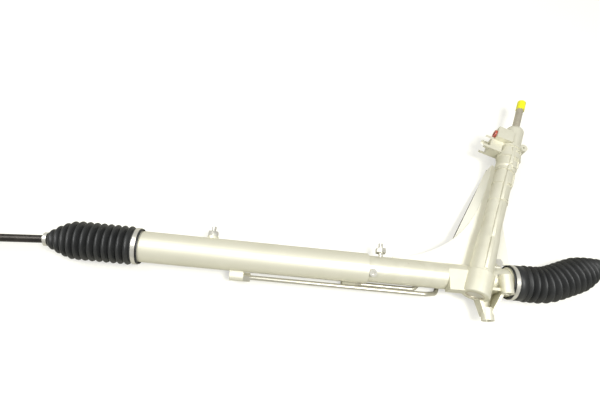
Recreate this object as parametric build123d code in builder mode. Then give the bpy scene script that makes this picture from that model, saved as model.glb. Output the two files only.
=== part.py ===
from build123d import *
from math import atan2, ceil, cos, degrees, floor, pi, radians, sin, sqrt, tan
import os

# A power steering rack as it comes off a van: a long cylinder tube, a cast housing with a leaning
# valve tower, a folded boot and a tie rod at each end. All sizes are in millimetres.
# The part lies on its back, +X along the rack towards the tower end, +Z up from the bench, and its
# origin is the centre of the main mounting bore where it meets the car.

# Where the main mounting bore is, seen from the point where the rack and the pinion cross
main_mount_x = 42.0
main_mount_y = -30.0
main_mount_z = 30.0

# Running clearances and seats
running_fit = 0.05
soft_gap = 0.3

# Rack bar, seen along X from the crossing
rack_d = 28.0
rack_bore_gap = 1.2
teeth_left = -97.0
teeth_right = 52.0
travel_left = 36.0
travel_right = 76.0

# Pinion and rack teeth
tooth_module = 2.0
pinion_teeth = 8
pressure_angle = 20.0
profile_shift = 0.55
pinion_addendum = 1.3
rack_addendum = 0.9
tooth_clearance = 0.25
backlash = 0.2
pinion_height = 17.5
pinion_face = 29.0
column_lean = 18.5

# Cylinder tube
tube_left = -614.0
tube_right = -201.0
tube_od = 54.0
tube_bore = 46.0
port_left_x = -430.0
port_right_x = -229.0
port_boss_d = 16.0
port_boss_length = 24.0
port_left_angle = -18.0
port_right_angle = -50.0

# Piston and what seals the cylinder
piston_x = -350.0
piston_length = 20.0
piston_seat_d = 26.0
piston_ring_width = 5.0
gland_x = -456.0
gland_length = 16.0
end_bush_length = 14.0
retaining_wire_d = 2.0
seal_width = 7.0
seal_d = 38.0

# Cast housing
housing_right = 72.0
housing_od = 47.0
spigot_length = 16.0
boot_seat_length = 14.0
pad_left = -58.0
pad_right = -23.0
pad_front = -29.0
pad_back = 8.0
pad_top = 24.0
bush_length = 16.0
bush_od = 33.0

# Collar at the foot of the tower, seen along the pinion from the crossing
collar_bottom = -37.0
collar_top = 7.0
collar_d = 50.0
collar_edge = 1.5
plug_seat = -33.4
plug_d = 34.0
plug_thick = 1.8
circlip_thick = 1.4
circlip_width = 3.2
circlip_eye_d = 5.0

# Valve tower, seen along the pinion from the crossing
tower_foot_d = 42.0
tower_joint = 75.0
tower_joint_d = 39.0
tower_spigot = 15.0
tower_spigot_d = 30.0
tower_bore = 24.0
tower_taper = 20.0
tower_slim = tower_joint + tower_taper
tower_slim_d = 35.0
tower_shoulder = 240.0
tower_ring_drop = 82.0
tower_ring = tower_shoulder - tower_ring_drop
tower_ring_width = 5.0
tower_neck_drop = 43.0
tower_neck = tower_shoulder - tower_neck_drop
tower_neck_d = 37.0
tower_groove_drop = 14.0
tower_groove = tower_shoulder - tower_groove_drop
tower_groove_d = 34.0
tower_shoulder_d = 41.0
valve_ring_rise = 20.0
valve_ring = tower_shoulder + valve_ring_rise
valve_ring_width = 13.0
valve_ring_d = 45.5
valve_end_rise = 45.0
valve_end = tower_shoulder + valve_end_rise
keel_width = 8.0
keel_foot_d = 16.0

# Valve head
valve_start_rise = 22.0
valve_start = tower_shoulder + valve_start_rise
valve_bore = 28.0
head_spigot = 10.0
head_spigot_d = 32.0
head_flange = 5.0
head_flange_d = 44.0
head_d = 35.0
head_lip = 8.0
head_round = 6.0

# Pinion shaft and what turns with it
journal_d = 12.0
bearing_start = -26.0
bearing_width = 10.0
bearing_od = 28.0
bearing_ball_d = 3.5
bearing_ball_count = 8
pinion_nut_height = 5.6
pinion_nut_across = 18.0
shaft_d = 18.0
needle_start = 18.0
needle_length = 12.0
needle_od = 26.0
pinion_head_length = 22.0
pinion_head = valve_start - pinion_head_length
pinion_head_d = 22.5
sleeve_length = 46.0
sleeve_bore = 17.2
sleeve_ring_width = 2.4
sleeve_ring_count = 4
torsion_d = 6.0
torsion_head_d = 8.0
torsion_head = 12.0
torsion_anchor = 60.0
torsion_bottom = pinion_head - torsion_anchor
torsion_cover = 22.0
torsion_pin_d = 3.0

# Input shaft and its cap
input_end_gap = 2.0
input_seal_d = 16.0
input_step_gap = 2.0
input_step = valve_start + sleeve_length + input_step_gap
input_bush_gap = 4.0
input_bush_start = input_step + input_bush_gap
input_bush_length = 12.0
input_bush_od = 26.0
input_seal_gap = 2.0
input_seal_start = input_bush_start + input_bush_length + input_seal_gap
input_seal_width = 7.0
head_top = input_seal_start + input_seal_width + head_lip
input_neck_gap = 3.0
input_neck = input_seal_start + input_seal_width + input_neck_gap
input_d = 15.0
input_reach = 74.0
input_end = head_top + input_reach
torsion_top = input_end - torsion_cover
input_flat = 5.6
input_flat_gap = 9.0
input_flat_start = head_top + input_flat_gap
cap_grip = 19.0
cap_start = input_end - cap_grip
cap_wall = 1.2
cap_crown = 4.0
cap_end = input_end + cap_crown

# Ports in the valve head, in the tower's own directions
supply_rise = 19.0
supply_s = valve_end + supply_rise
supply_up = 10.0
supply_face = 40.0
supply_size = 26.0
supply_thread_d = 14.0
return_drop = 4.0
return_s = valve_end - return_drop
return_up = -2.5
return_face = 57.0
return_length = 28.0
return_height = 26.0
return_cup_d = 31.0
return_cup = 12.0
return_thread_d = 14.0
port_depth = 16.0
plug_flange = 3.5
union_upper_rise = 21.0
union_upper_s = valve_end + union_upper_rise
union_upper_side = 25.0
union_upper_bottom = 3.0
union_lower_drop = 7.0
union_lower_s = valve_end - union_lower_drop
union_lower_side = 22.0
union_lower_bottom = -8.0
union_boss_d = 16.0
union_boss_height = 16.0

# Yoke that presses the rack against the pinion
yoke_d = 30.0
yoke_top = 3.0
yoke_bottom = 25.0
yoke_boss_d = 40.0
yoke_boss_end = 31.0
yoke_plug_start = 28.0
yoke_plug_end = 38.0
yoke_nut_height = 5.5
yoke_nut_across = 38.0
yoke_spring_d = 22.0

# Mounting bosses
mount_bore_d = 11.0
main_boss_d = 21.5
main_boss_back = 3.0
lower_mount_x = 16.0
lower_mount_z = 0.0
lower_mount_front = -73.0
lower_mount_length = 22.0
lower_boss_d = 22.0
bracket_rib = 5.0
bracket_floor = -12.0

# Gusset plate under the tower
plate_thick = 3.0
plate_top = -5.5
plate_front = 24.2
plate_left = -166.0
plate_right = 71.0
plate_tip_x = 62.0
plate_tip_y = 248.0
plate_tip_width = 24.0
plate_tip_drop = 20.0
plate_notch_x = 56.0
plate_notch_y = 33.5
plate_ledge = 6.0
plate_flange_start_x = -34.0
plate_flange_start_y = 77.0
plate_flange_depth = 20.0
plate_bolt_d = 8.0
plate_bolt_x = 49.0
plate_bolt_y = 36.0
plate_hidden_bolt_s = 95.0
plate_bolt_grip = 10.0
plate_washer_d = 15.0
plate_bolt_washer = 1.6
plate_bolt_head = 5.0
plate_bolt_across = 13.0

# Studs on the tube and the housing
stud_d = 8.0
stud_left_x = -479.0
stud_right_x = -176.5
stud_z = 6.0
stud_tip = 47.0
stud_collar_d = 16.0
stud_nut_bottom = 31.0
stud_nut_height = 6.5
stud_nut_across = 13.0

# Locating screw
screw_x = -194.0
screw_angle = 120.0
screw_head_d = 14.0
screw_head = 4.0
screw_d = 6.0
screw_length = 7.0

# Fluid pipes
pipe_d = 8.0
pipe_nut_across = 14.0
pipe_nut_length = 12.0
pipe_level = -18.0
pipe_entry = 8.0
short_run = (-50.8, -54.2)
short_lead = 110.0
long_run = (-29.1, -44.6)
long_lead = 328.0

# Ball joints and tie rods
ball_left_x = -712.0
ball_right_x = 130.0
ball_d = 22.0
ball_flat = 9.0
seat_wall = 2.35
joint_back = 20.0
joint_front = 12.0
joint_d = 34.0
joint_nose_d = 31.0
joint_mouth_d = 27.2
joint_lip = 7.0
joint_stud_d = 16.0
joint_stud_length = 18.0
joint_flats = 30.0
tie_rod_d = 13.5
tie_neck_d = 12.0
tie_rod_length = 270.0
tie_thread_d = 14.0
tie_thread_length = 72.0
tie_flats_start = 150.0
tie_flats_length = 16.0
tie_flats = 11.0
tie_nut_start = 214.0
thread_relief = 0.8
thread_relief_width = 2.5
thread_relief_gap = 0.5
tie_nut_height = 11.0
tie_nut_across = 22.0
swing_left = 4.0
swing_right = 22.0

# Boots
boot_crest_d = 67.0
boot_root_d = 51.0
boot_wall = 2.0
boot_cuff = 14.0
boot_cuff_wall = 3.5
boot_folds = 12
boot_taper_folds = 4
boot_small_crest_d = 27.0
boot_small_root_d = 20.0
boot_small_cuff = 8.0
boot_end_left = 52.0
boot_end_right = 138.0
boot_bend = 20.0
clamp_width = 7.0
clamp_thick = 1.2
small_clamp_width = 6.0

up = Vector(0, 0, 1)


def line(origin, heading, upward=up):
    # A centre line: x runs along it, y is upward, z points to its right-hand side
    ahead = Vector(heading).normalized()
    return Plane(origin=origin, x_dir=ahead, z_dir=ahead.cross(Vector(upward)))


def level(origin, angle):
    # A centre line that lies level, at an angle from +X towards +Y
    return line(origin, (cos(radians(angle)), sin(radians(angle)), 0))


def spot(axis, distance, side=0.0, rise=0.0):
    # A point given along a centre line, to its side and above it
    return axis.origin + axis.x_dir * distance + axis.z_dir * side + axis.y_dir * rise


def across(axis, distance):
    # The plane square to a centre line: its x is upward and its y is to the side
    return Plane(origin=spot(axis, distance), x_dir=axis.y_dir, z_dir=axis.x_dir)


def bar(axis, start, end, diameter, mode=Mode.ADD):
    # A round bar, or a round hole, along a centre line
    with BuildSketch(across(axis, start)) as section:
        Circle(diameter / 2)
    extrude(section.sketch, amount=end - start, mode=mode)


def hexagon(axis, start, end, flats, mode=Mode.ADD):
    # A hexagon along a centre line
    with BuildSketch(across(axis, start)) as section:
        RegularPolygon(flats / 2, 6, major_radius=False)
    extrude(section.sketch, amount=end - start, mode=mode)


def block(axis, start, end, side, rise, mode=Mode.ADD):
    # A square-edged block along a centre line: side and rise are low and high pairs
    with BuildSketch(across(axis, start)) as section:
        with Locations(((rise[0] + rise[1]) / 2, (side[0] + side[1]) / 2)):
            Rectangle(rise[1] - rise[0], side[1] - side[0])
    extrude(section.sketch, amount=end - start, mode=mode)


def turn(axis, *outline, mode=Mode.ADD):
    # A turned form: its outline is given as distances along the line and radii
    with BuildSketch(axis) as half:
        with BuildLine():
            Polyline(*outline, close=True)
        make_face()
    revolve(half.sketch, axis=Axis(axis.origin, axis.x_dir), mode=mode)


def ring(axis, start, end, inner_d, outer_d, mode=Mode.ADD):
    # A plain ring or bush
    turn(axis, (start, inner_d / 2), (end, inner_d / 2), (end, outer_d / 2), (start, outer_d / 2), mode=mode)


def rib(start, end, low, tops, thick):
    # An upright cast rib between two points, its top edge sloping from the first to the second
    face = line(start, end - start)
    length = (end - start).length
    with BuildSketch(face) as side_view:
        with BuildLine():
            Polyline((0, low), (length, low), (length, tops[1]), (0, tops[0]), close=True)
        make_face()
    extrude(side_view.sketch, amount=thick / 2, both=True)


# The main centre lines
crossing = Vector(-main_mount_x, -main_mount_y, -main_mount_z)
rack_line = line(crossing, (1, 0, 0))
column_line = level(crossing + up * pinion_height, 90 - column_lean)
yoke_line = line(crossing, (0, 0, -1), (1, 0, 0))
main_boss_line = line(Vector(0, 0, 0), (0, 1, 0))
lower_boss_line = line(crossing + Vector(lower_mount_x, lower_mount_front, lower_mount_z), (0, 1, 0))
ball_left = spot(rack_line, ball_left_x)
ball_right = spot(rack_line, ball_right_x)
joint_left_line = level(ball_left, 180)
joint_right_line = level(ball_right, 0)
rod_left_line = level(ball_left, 180 + swing_left)
rod_right_line = level(ball_right, swing_right)


def plan(x, y, z=0.0):
    # A point seen from the crossing, on the rack's axis
    return crossing + Vector(x, y, z)


def flat(x, y):
    # The same, seen from above, for a level sketch
    return crossing.X + x, crossing.Y + y


# Teeth. The pinion is a spur gear on a leaning shaft, so the rack's teeth lean with it.
pitch_r = tooth_module * pinion_teeth / 2
base_r = pitch_r * cos(radians(pressure_angle))
pinion_tip_r = pitch_r + tooth_module * pinion_addendum
pinion_root_r = pitch_r - tooth_module * (1 + tooth_clearance - profile_shift)
datum_drop = pitch_r + profile_shift * tooth_module
rack_tip = pinion_height - datum_drop + rack_addendum * tooth_module
rack_root = pinion_height - pinion_tip_r - tooth_clearance * tooth_module
tooth_pitch = pi * tooth_module


def involute(angle):
    return tan(angle) - angle


def flank_angle(radius):
    # Half the angle that a pinion tooth takes up at a radius
    half_pitch_tooth = tooth_module * (pi / 2 + 2 * profile_shift * tan(radians(pressure_angle))) / (2 * pitch_r)
    rolled = sqrt(max(radius ** 2 - base_r ** 2, 0)) / base_r
    return half_pitch_tooth + involute(radians(pressure_angle)) - (rolled - atan2(rolled, 1))


def polar(radius, angle):
    return radius * cos(angle), radius * sin(angle)


with BuildPart() as pinion_shaft:
    half_face = pinion_face / 2
    with BuildSketch(across(column_line, -half_face)) as gear_blank:
        Circle(pinion_root_r)
        with BuildLine():
            flank_mid = (base_r + pinion_tip_r) / 2
            upper = [polar(r, flank_angle(r)) for r in (base_r, flank_mid, pinion_tip_r)]
            lower = [polar(r, -flank_angle(r)) for r in (base_r, flank_mid, pinion_tip_r)]
            foot = polar(pinion_root_r - 1, flank_angle(base_r))
            flank_up = ThreePointArc(*upper)
            tip = ThreePointArc(upper[2], (pinion_tip_r, 0), lower[2])
            flank_down = ThreePointArc(lower[2], lower[1], lower[0])
            Polyline(lower[0], (foot[0], -foot[1]), foot, upper[0])
        tooth = make_face(mode=Mode.PRIVATE)
        with PolarLocations(0, pinion_teeth):
            add(tooth)
    extrude(amount=pinion_face)
    nut_end = bearing_start - pinion_nut_height
    bar(column_line, nut_end, -half_face, journal_d)
    bar(column_line, -half_face - 1.5, -half_face, 2 * pinion_root_r + 2)
    bar(column_line, half_face, pinion_head, shaft_d)
    bar(column_line, pinion_head, valve_start, pinion_head_d)
    bar(column_line, torsion_bottom - 1, valve_start, torsion_head_d, mode=Mode.SUBTRACT)
    pin_middle = torsion_bottom + torsion_head / 2
    pin_line = line(spot(column_line, pin_middle, side=-shaft_d / 2), column_line.z_dir)
    bar(pin_line, 0, shaft_d, torsion_pin_d, mode=Mode.SUBTRACT)
pinion_shaft.part.label = "pinion_shaft"

with BuildPart() as rack_bar:
    rack_left_end = ball_left_x + joint_back
    rack_right_end = ball_right_x - joint_back
    bar(rack_line, rack_left_end, rack_right_end, rack_d)
    block(rack_line, teeth_left, teeth_right, (-rack_d, rack_d), (rack_tip, rack_d), mode=Mode.SUBTRACT)
    lean = radians(column_lean)
    reach = rack_d + max(-teeth_left, teeth_right) * tan(lean)
    first_gap = ceil((teeth_left * cos(lean)) / tooth_pitch)
    last_gap = floor((teeth_right * cos(lean)) / tooth_pitch)
    slope = tan(radians(pressure_angle))
    rolling_line = pinion_height - pitch_r
    gap_half = tooth_module * (pi / 2 + 2 * profile_shift * slope) / 2 + backlash / 2
    root_half = gap_half - (rolling_line - rack_root) * slope
    mouth_half = gap_half + (rack_tip + 1 - rolling_line) * slope
    teeth_line = level(crossing, 90 - column_lean)
    with BuildSketch(across(teeth_line, -reach)) as gaps:
        for gap in range(first_gap, last_gap + 1):
            middle = gap * tooth_pitch
            with BuildLine():
                Polyline(
                    (rack_root, middle - root_half),
                    (rack_root, middle + root_half),
                    (rack_tip + 1, middle + mouth_half),
                    (rack_tip + 1, middle - mouth_half),
                    close=True,
                )
            make_face()
    extrude(amount=2 * reach, mode=Mode.SUBTRACT)
    ring(rack_line, piston_x - piston_length / 2, piston_x + piston_length / 2, piston_seat_d, rack_d + 2,
         mode=Mode.SUBTRACT)
    bar(rack_line, rack_left_end, rack_left_end + joint_stud_length, joint_stud_d, mode=Mode.SUBTRACT)
    bar(rack_line, rack_right_end - joint_stud_length, rack_right_end, joint_stud_d, mode=Mode.SUBTRACT)
rack_bar.part.label = "rack_bar"

# The housing, one casting with its collar, the foot of the tower, the yoke boss and the mounts
rack_bore = rack_d + 2 * rack_bore_gap
pinion_bore = 2 * pinion_tip_r + 1.2
main_seat = crossing + Vector(main_mount_x, main_mount_y, main_mount_z)
with BuildPart() as rack_housing:
    bar(rack_line, tube_right, housing_right - boot_seat_length, housing_od)
    bar(rack_line, tube_right - spigot_length, tube_right, tube_bore)
    bar(rack_line, housing_right - boot_seat_length, housing_right, tube_od)
    block(rack_line, pad_left, pad_right, (-pad_back, -pad_front), (0, pad_top))
    turn(
        column_line,
        (collar_bottom, 0),
        (collar_bottom, collar_d / 2 - collar_edge),
        (collar_bottom + collar_edge, collar_d / 2),
        (collar_top - collar_edge, collar_d / 2),
        (collar_top, collar_d / 2 - collar_edge),
        (collar_top, tower_foot_d / 2),
        (tower_joint, tower_joint_d / 2),
        (tower_joint, 0),
    )
    bar(yoke_line, 0, yoke_boss_end, yoke_boss_d)
    bar(main_boss_line, 0, main_boss_back - main_mount_y, main_boss_d)
    bar(lower_boss_line, 0, lower_mount_length, lower_boss_d)
    # The bracket: ribs from the collar and the main boss down to the lower boss, over a thin floor
    rib(plan(0, -26), plan(11, -64), bracket_floor, (10, 7), bracket_rib + 2)
    rib(plan(42, -14), plan(21, -64), bracket_floor, (32, 7), bracket_rib)
    rib(plan(14, -22), plan(36, -22), -5, (27, 27), bracket_rib)
    with BuildSketch(Plane.XY.offset(crossing.Z + bracket_floor)) as bracket_web:
        with BuildLine():
            Polyline(flat(-8, -12), flat(44, -12), flat(22, -66), flat(10, -66), close=True)
        make_face()
    extrude(amount=bracket_rib)
    # The ledge and the boss that carry the gusset plate
    plate_bottom = plate_top - plate_thick
    block(rack_line, plate_left + 16, plate_notch_x, (-plate_front - plate_ledge, -10), (plate_bottom - 4, plate_bottom))
    plate_boss_line = line(plan(plate_bolt_x, plate_bolt_y, plate_bottom), (0, 0, -1), (1, 0, 0))
    bar(plate_boss_line, 0, 12, plate_bolt_d * 2)
    # Holes, largest first
    bar(rack_line, tube_right - spigot_length, housing_right, rack_bore, mode=Mode.SUBTRACT)
    bar(rack_line, tube_right - spigot_length, tube_right - spigot_length + seal_width, seal_d, mode=Mode.SUBTRACT)
    bar(rack_line, housing_right - bush_length, housing_right, bush_od, mode=Mode.SUBTRACT)
    circlip_start = plug_seat - plug_thick - circlip_thick
    bar(column_line, collar_bottom, plug_seat, plug_d, mode=Mode.SUBTRACT)
    bar(column_line, circlip_start, circlip_start + circlip_thick, plug_d + 2, mode=Mode.SUBTRACT)
    bar(column_line, plug_seat, bearing_start + bearing_width, bearing_od, mode=Mode.SUBTRACT)
    bar(column_line, bearing_start, tower_joint, pinion_bore, mode=Mode.SUBTRACT)
    bar(column_line, needle_start, tower_joint, tower_bore, mode=Mode.SUBTRACT)
    bar(column_line, needle_start, needle_start + needle_length, needle_od, mode=Mode.SUBTRACT)
    bar(column_line, tower_joint - tower_spigot, tower_joint, tower_spigot_d, mode=Mode.SUBTRACT)
    bar(yoke_line, 0, yoke_boss_end, yoke_d, mode=Mode.SUBTRACT)
    bar(main_boss_line, 0, main_boss_back - main_mount_y, mount_bore_d, mode=Mode.SUBTRACT)
    bar(lower_boss_line, 0, lower_mount_length, mount_bore_d, mode=Mode.SUBTRACT)
    bar(plate_boss_line, 0, 12, plate_bolt_d, mode=Mode.SUBTRACT)
    screw_out = Vector(0, cos(radians(screw_angle)), sin(radians(screw_angle)))
    screw_line = line(spot(rack_line, screw_x), screw_out, (1, 0, 0))
    screw_tip = housing_od / 2 - screw_length
    bar(screw_line, screw_tip, housing_od / 2 + 1, screw_d, mode=Mode.SUBTRACT)
    stud_right_line = line(plan(stud_right_x, 0, stud_z), (0, 1, 0))
    stud_root = housing_od / 2 - 6
    bar(stud_right_line, stud_root, housing_od, stud_d, mode=Mode.SUBTRACT)
rack_housing.part.label = "rack_housing"

# The cylinder tube, with the two welded pipe bosses
with BuildPart() as cylinder_tube:
    bar(rack_line, tube_left, tube_right, tube_od)
    port_offset = tube_od / 2 + port_boss_d / 2 + 0.5
    port_lines = []
    for port_x, port_angle in ((port_left_x, port_left_angle), (port_right_x, port_right_angle)):
        outward = Vector(0, -cos(radians(port_angle)), sin(radians(port_angle)))
        port_line = line(spot(rack_line, port_x) + outward * port_offset, (1, 0, 0))
        port_lines.append((port_line, outward))
        half_port = port_boss_length / 2
        bar(port_line, -half_port, half_port, port_boss_d)
        foot_line = line(spot(rack_line, port_x), outward, (1, 0, 0))
        block(foot_line, tube_bore / 2, port_offset, (-port_boss_d / 2, port_boss_d / 2), (-half_port, half_port))
    stud_left_line = line(plan(stud_left_x, 0, stud_z), (0, 1, 0))
    bar(stud_left_line, tube_bore / 2, tube_od / 2 + 1.5, stud_collar_d + 4)
    bar(rack_line, tube_left, tube_right, tube_bore, mode=Mode.SUBTRACT)
    for port_line, outward in port_lines:
        bar(port_line, half_port - pipe_entry, half_port, pipe_d, mode=Mode.SUBTRACT)
        bar(port_line, 0, half_port, pipe_d / 2, mode=Mode.SUBTRACT)
        passage = line(port_line.origin, -outward, (1, 0, 0))
        bar(passage, -pipe_d / 4, port_offset - tube_bore / 2 + 2, pipe_d / 2, mode=Mode.SUBTRACT)
    bar(stud_left_line, tube_bore / 2 + 1, tube_od, stud_d, mode=Mode.SUBTRACT)
cylinder_tube.part.label = "cylinder_tube"

# The upper tower: a turned and ringed body with a keel below that rests on the gusset plate
with BuildPart() as valve_tower:
    turn(
        column_line,
        (tower_joint - tower_spigot, 0),
        (tower_joint - tower_spigot, tower_spigot_d / 2),
        (tower_joint, tower_spigot_d / 2),
        (tower_joint, tower_joint_d / 2),
        (tower_slim, tower_slim_d / 2),
        (tower_ring, tower_slim_d / 2),
        (tower_ring, tower_slim_d / 2 + 0.9),
        (tower_ring + tower_ring_width, tower_slim_d / 2 + 0.9),
        (tower_ring + tower_ring_width, tower_slim_d / 2),
        (tower_neck, tower_slim_d / 2),
        (tower_neck, tower_neck_d / 2),
        (tower_groove, tower_neck_d / 2),
        (tower_groove, tower_groove_d / 2),
        (tower_groove + 4, tower_groove_d / 2),
        (tower_groove + 4, tower_neck_d / 2),
        (tower_shoulder - 3, tower_neck_d / 2),
        (tower_shoulder, tower_shoulder_d / 2),
        (valve_ring, tower_shoulder_d / 2),
        (valve_ring + 1, valve_ring_d / 2),
        (valve_ring + valve_ring_width - 1, valve_ring_d / 2),
        (valve_ring + valve_ring_width, tower_shoulder_d / 2),
        (valve_end, tower_shoulder_d / 2),
        (valve_end, 0),
    )
    keel_low = plate_top - pinion_height
    keel_half = keel_width / 2
    block(column_line, tower_joint + 5, tower_shoulder, (-keel_half, keel_half), (keel_low, 0))
    hidden_bolt = spot(column_line, plate_hidden_bolt_s)
    keel_foot_line = line(Vector(hidden_bolt.X, hidden_bolt.Y, crossing.Z + plate_top), up, (1, 0, 0))
    bar(keel_foot_line, 0, pinion_height - plate_top, keel_foot_d)
    bar(column_line, tower_joint - tower_spigot, valve_start, tower_bore, mode=Mode.SUBTRACT)
    bar(column_line, valve_start, valve_end, valve_bore, mode=Mode.SUBTRACT)
    bar(column_line, valve_end - head_spigot, valve_end, head_spigot_d, mode=Mode.SUBTRACT)
    bar(keel_foot_line, 0, plate_bolt_grip, plate_bolt_d, mode=Mode.SUBTRACT)
valve_tower.part.label = "valve_tower"

# The valve head: the round end casting, its ports on the left and its pipe bosses on the right
supply_line = line(spot(column_line, supply_s, 0, supply_up), -column_line.z_dir)
return_line = line(spot(column_line, return_s, 0, return_up), -column_line.z_dir)
union_places = (
    (union_upper_s, union_upper_side, union_upper_bottom),
    (union_lower_s, union_lower_side, union_lower_bottom),
)
union_lines = [
    line(spot(column_line, s, side, bottom - pinion_height), up, column_line.x_dir) for s, side, bottom in union_places
]
with BuildPart() as valve_head:
    head_start = valve_end - head_spigot
    shaft_hole_d = input_seal_d + 2
    turn(
        column_line,
        (head_start, 0),
        (head_start, head_spigot_d / 2),
        (valve_end, head_spigot_d / 2),
        (valve_end, head_flange_d / 2),
        (valve_end + head_flange, head_flange_d / 2),
        (valve_end + head_flange + 2, head_d / 2),
        (head_top - head_round, head_d / 2),
        (head_top - head_round / 3, head_d / 2 - head_round / 3),
        (head_top, head_d / 2 - head_round),
        (head_top, 0),
    )
    half_supply = supply_size / 2
    block(supply_line, 8, supply_face, (-half_supply, half_supply), (-half_supply, half_supply))
    half_return = return_length / 2
    half_height = return_height / 2
    block(return_line, 8, return_face, (-half_return, half_return), (-half_height, half_height))
    for union_line, (s, side, bottom) in zip(union_lines, union_places):
        bar(union_line, 0, union_boss_height, union_boss_d)
        low = bottom - pinion_height
        half_boss = union_boss_d / 2
        web = (low + 2, low + union_boss_height - 3)
        block(column_line, max(s - half_boss, valve_end), s + half_boss, (0, side), web)
    # Room for the tower's own end, which the port block reaches past
    bar(column_line, tower_shoulder, valve_end, valve_ring_d + 1, mode=Mode.SUBTRACT)
    turn(
        column_line,
        (head_start, 0),
        (head_start, head_spigot_d / 2),
        (valve_end, head_spigot_d / 2),
        (valve_end, 0),
    )
    bar(column_line, head_start, input_bush_start, valve_bore, mode=Mode.SUBTRACT)
    bar(column_line, input_bush_start, head_top, shaft_hole_d, mode=Mode.SUBTRACT)
    bar(column_line, input_bush_start, input_seal_start + input_seal_width, input_bush_od, mode=Mode.SUBTRACT)
    bar(supply_line, supply_face - port_depth, supply_face, supply_thread_d, mode=Mode.SUBTRACT)
    bar(supply_line, 0, supply_face, pipe_d, mode=Mode.SUBTRACT)
    cup_floor = return_face - return_cup
    bar(return_line, cup_floor, return_face, return_cup_d, mode=Mode.SUBTRACT)
    bar(return_line, cup_floor - port_depth, cup_floor, return_thread_d, mode=Mode.SUBTRACT)
    for union_line in union_lines:
        bar(union_line, 0, pipe_entry, pipe_d, mode=Mode.SUBTRACT)
        bar(union_line, 0, union_boss_height, pipe_d / 2, mode=Mode.SUBTRACT)
valve_head.part.label = "valve_head"

# What turns in the tower
with BuildPart() as valve_sleeve:
    sleeve_end = valve_start + sleeve_length
    sleeve_d = valve_bore - 2 * running_fit
    ring(column_line, valve_start, sleeve_end, sleeve_bore, sleeve_d)
    groove_step = sleeve_length / sleeve_ring_count
    groove_starts = [valve_start + groove_step * (n + 0.5) - sleeve_ring_width / 2 for n in range(sleeve_ring_count)]
    for groove in groove_starts:
        ring(column_line, groove, groove + sleeve_ring_width, sleeve_d - 3, sleeve_d + 1, mode=Mode.SUBTRACT)
valve_sleeve.part.label = "valve_sleeve"

with BuildPart() as sleeve_rings:
    for groove in groove_starts:
        ring(column_line, groove, groove + sleeve_ring_width, sleeve_d - 3, sleeve_d)
sleeve_rings.part.label = "sleeve_rings"

with BuildPart() as torsion_bar:
    bar(column_line, torsion_bottom, torsion_top, torsion_d)
    bar(column_line, torsion_bottom, torsion_bottom + torsion_head, torsion_head_d)
    bar(column_line, torsion_top - torsion_head, torsion_top, torsion_head_d - 2 * running_fit)
    bar(pin_line, 0, shaft_d, torsion_pin_d, mode=Mode.SUBTRACT)
torsion_bar.part.label = "torsion_bar"

with BuildPart() as torsion_pin:
    bar(pin_line, 0, shaft_d, torsion_pin_d)
torsion_pin.part.label = "torsion_pin"

with BuildPart() as input_shaft:
    input_start = valve_start + input_end_gap
    valve_rotor_d = sleeve_bore - 2 * running_fit
    turn(
        column_line,
        (input_start, 0),
        (input_start, valve_rotor_d / 2),
        (input_step, valve_rotor_d / 2),
        (input_step, input_seal_d / 2),
        (input_neck, input_seal_d / 2),
        (input_neck, input_d / 2),
        (input_end - 1.5, input_d / 2),
        (input_end, input_d / 2 - 1.5),
        (input_end, 0),
    )
    bar(column_line, input_start, torsion_top + 1, torsion_head_d, mode=Mode.SUBTRACT)
    block(column_line, input_flat_start, input_end, (input_flat, input_d), (-input_d, input_d), mode=Mode.SUBTRACT)
input_shaft.part.label = "input_shaft"

with BuildPart() as shaft_cap:
    cap_bore = input_d + 2 * running_fit
    bar(column_line, cap_start, cap_end, cap_bore + 2 * cap_wall)
    bar(column_line, cap_start, input_end, cap_bore, mode=Mode.SUBTRACT)
    fillet(shaft_cap.faces().sort_by(Axis(column_line.origin, column_line.x_dir))[-1].edges(), 1.5)
shaft_cap.part.label = "shaft_cap"

with BuildPart() as port_plug:
    plug_outside = supply_face + plug_flange
    bar(supply_line, supply_face - port_depth / 2, supply_face, supply_thread_d - 2 * running_fit)
    bar(supply_line, supply_face, plug_outside, supply_thread_d + 3)
    bar(supply_line, supply_face - port_depth / 4, plug_outside, supply_thread_d / 2, mode=Mode.SUBTRACT)
port_plug.part.label = "port_plug"

# Bearings, bushes, seals and what closes the collar
with BuildPart() as bearing_outer:
    bearing_end = bearing_start + bearing_width
    ball_pitch_d = (journal_d + bearing_od) / 2
    ring(column_line, bearing_start, bearing_end, ball_pitch_d + bearing_ball_d + 0.1, bearing_od)
bearing_outer.part.label = "bearing_outer"

with BuildPart() as bearing_inner:
    ring(column_line, bearing_start, bearing_end, journal_d, ball_pitch_d - bearing_ball_d - 0.1)
bearing_inner.part.label = "bearing_inner"

with BuildPart() as bearing_balls:
    with Locations(across(column_line, bearing_start + bearing_width / 2).location):
        with PolarLocations(ball_pitch_d / 2, bearing_ball_count):
            Sphere(bearing_ball_d / 2)
bearing_balls.part.label = "bearing_balls"

with BuildPart() as pinion_nut:
    hexagon(column_line, nut_end, bearing_start, pinion_nut_across)
    bar(column_line, nut_end, bearing_start, journal_d, mode=Mode.SUBTRACT)
pinion_nut.part.label = "pinion_nut"

with BuildPart() as end_plug:
    bar(column_line, plug_seat - plug_thick, plug_seat, plug_d)
end_plug.part.label = "end_plug"

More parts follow.
